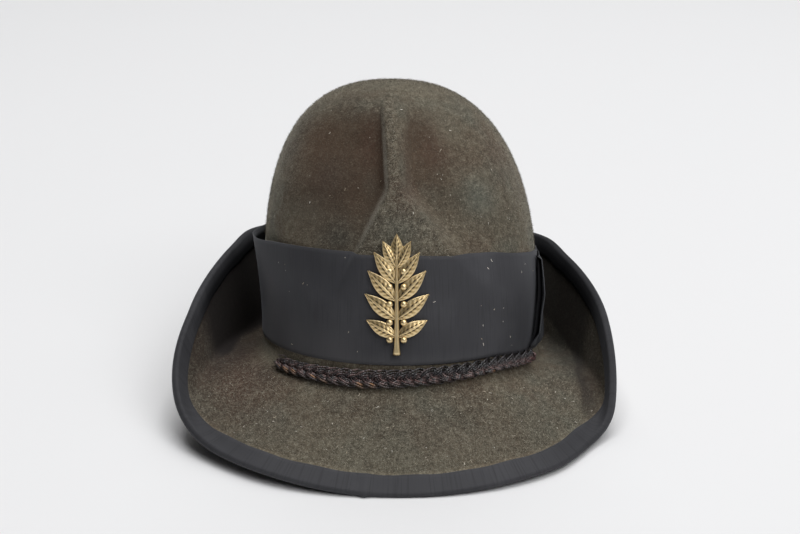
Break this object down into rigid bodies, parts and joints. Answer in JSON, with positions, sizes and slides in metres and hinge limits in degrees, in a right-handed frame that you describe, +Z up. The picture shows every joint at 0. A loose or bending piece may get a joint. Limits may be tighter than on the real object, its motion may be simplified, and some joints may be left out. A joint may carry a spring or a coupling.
{
  "type": "alpine felt hat",
  "caption": "Felt alpine hat with a pinched crown, a brim dipped in front and turned up at sides and back, ribbon band, bow and edging, a front braid and a brass sprig ornament.",
  "frame": {"origin": "on the resting surface, under the middle of the overall box", "axes": "+Z up from the resting surface, -Y towards the front of the hat, +X towards the wearer's left"},
  "size_m": [0.229, 0.2702, 0.1646],
  "materials": {
    "felt": "napped olive-grey wool felt",
    "ribbon": "ribbed charcoal ribbon",
    "braid": "plaited dark brown cord",
    "brass": "worn antique brass"
  },
  "bodies": {
    "root": {"felt_hood": "felt", "hat_band": "ribbon", "bow_loop_front": "ribbon", "bow_loop_back": "ribbon", "bow_knot": "ribbon", "brim_binding": "ribbon", "front_braid": "braid", "brass_sprig": "brass"}
  },
  "joints": []
}
